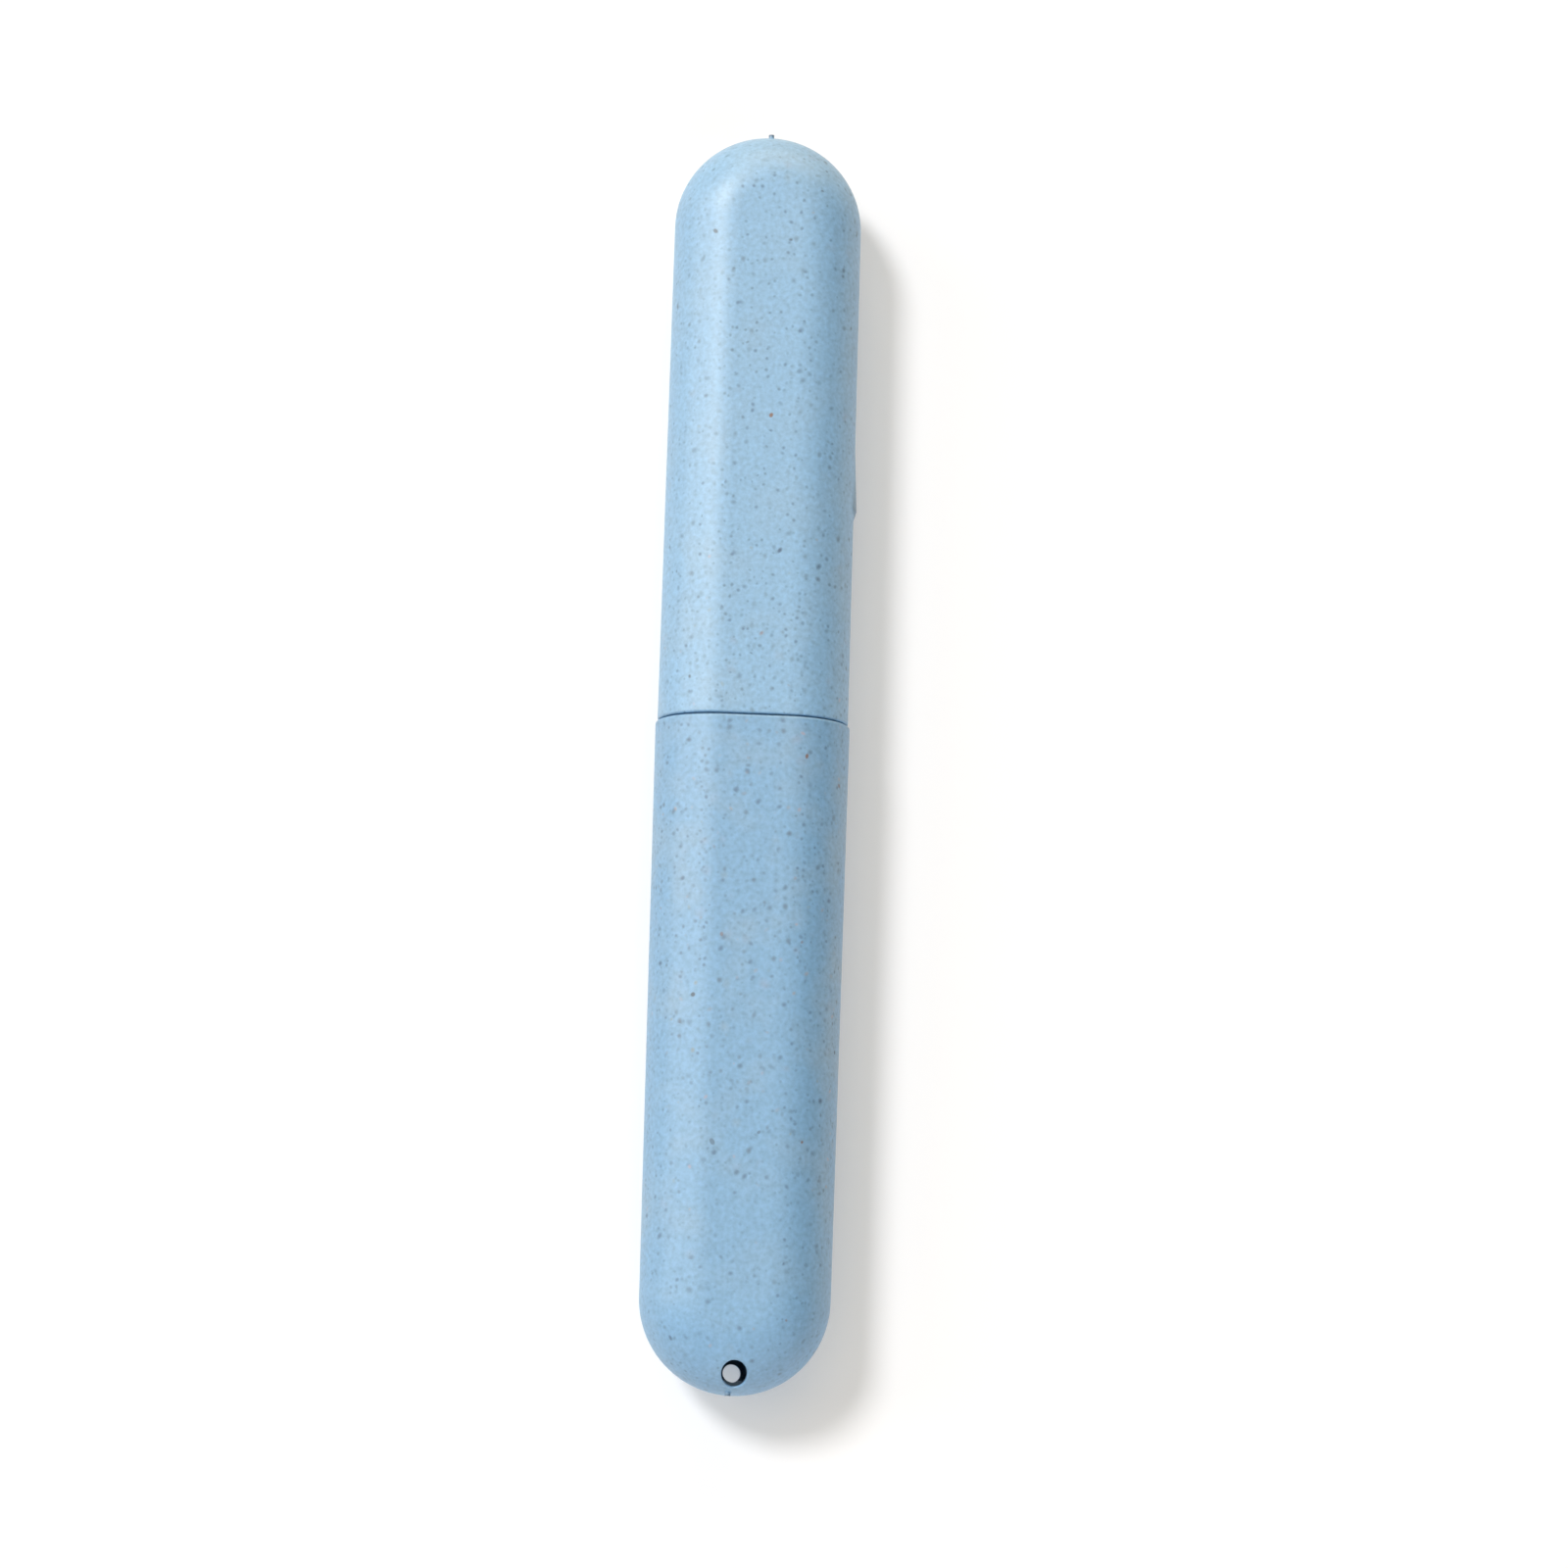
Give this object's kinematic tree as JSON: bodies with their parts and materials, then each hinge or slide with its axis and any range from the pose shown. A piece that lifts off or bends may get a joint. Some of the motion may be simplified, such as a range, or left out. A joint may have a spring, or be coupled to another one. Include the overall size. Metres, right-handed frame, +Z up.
{
  "type": "toothbrush travel case",
  "caption": "Pill-shaped travel case for a toothbrush: a domed body with a vent hole and a collar inside its seam, and a domed cap that pulls off it.",
  "frame": {"origin": "on the surface the case lies on, under the middle of its length and width", "axes": "+Y along the case towards the cap's dome, +Z up from the flat it lies on, +X to the right"},
  "size_m": [0.032, 0.208, 0.0212],
  "materials": {
    "body_plastic": "satin",
    "cap_plastic": "satin"
  },
  "bodies": {
    "case_body": {"case_body": "body_plastic"},
    "case_cap": {"case_cap": "cap_plastic"}
  },
  "joints": [
    {"name": "cap_pull", "type": "slide", "parent": "case_body", "child": "case_cap", "axis": [0, 1, 0], "range_m": [0, 0.1]}
  ]
}
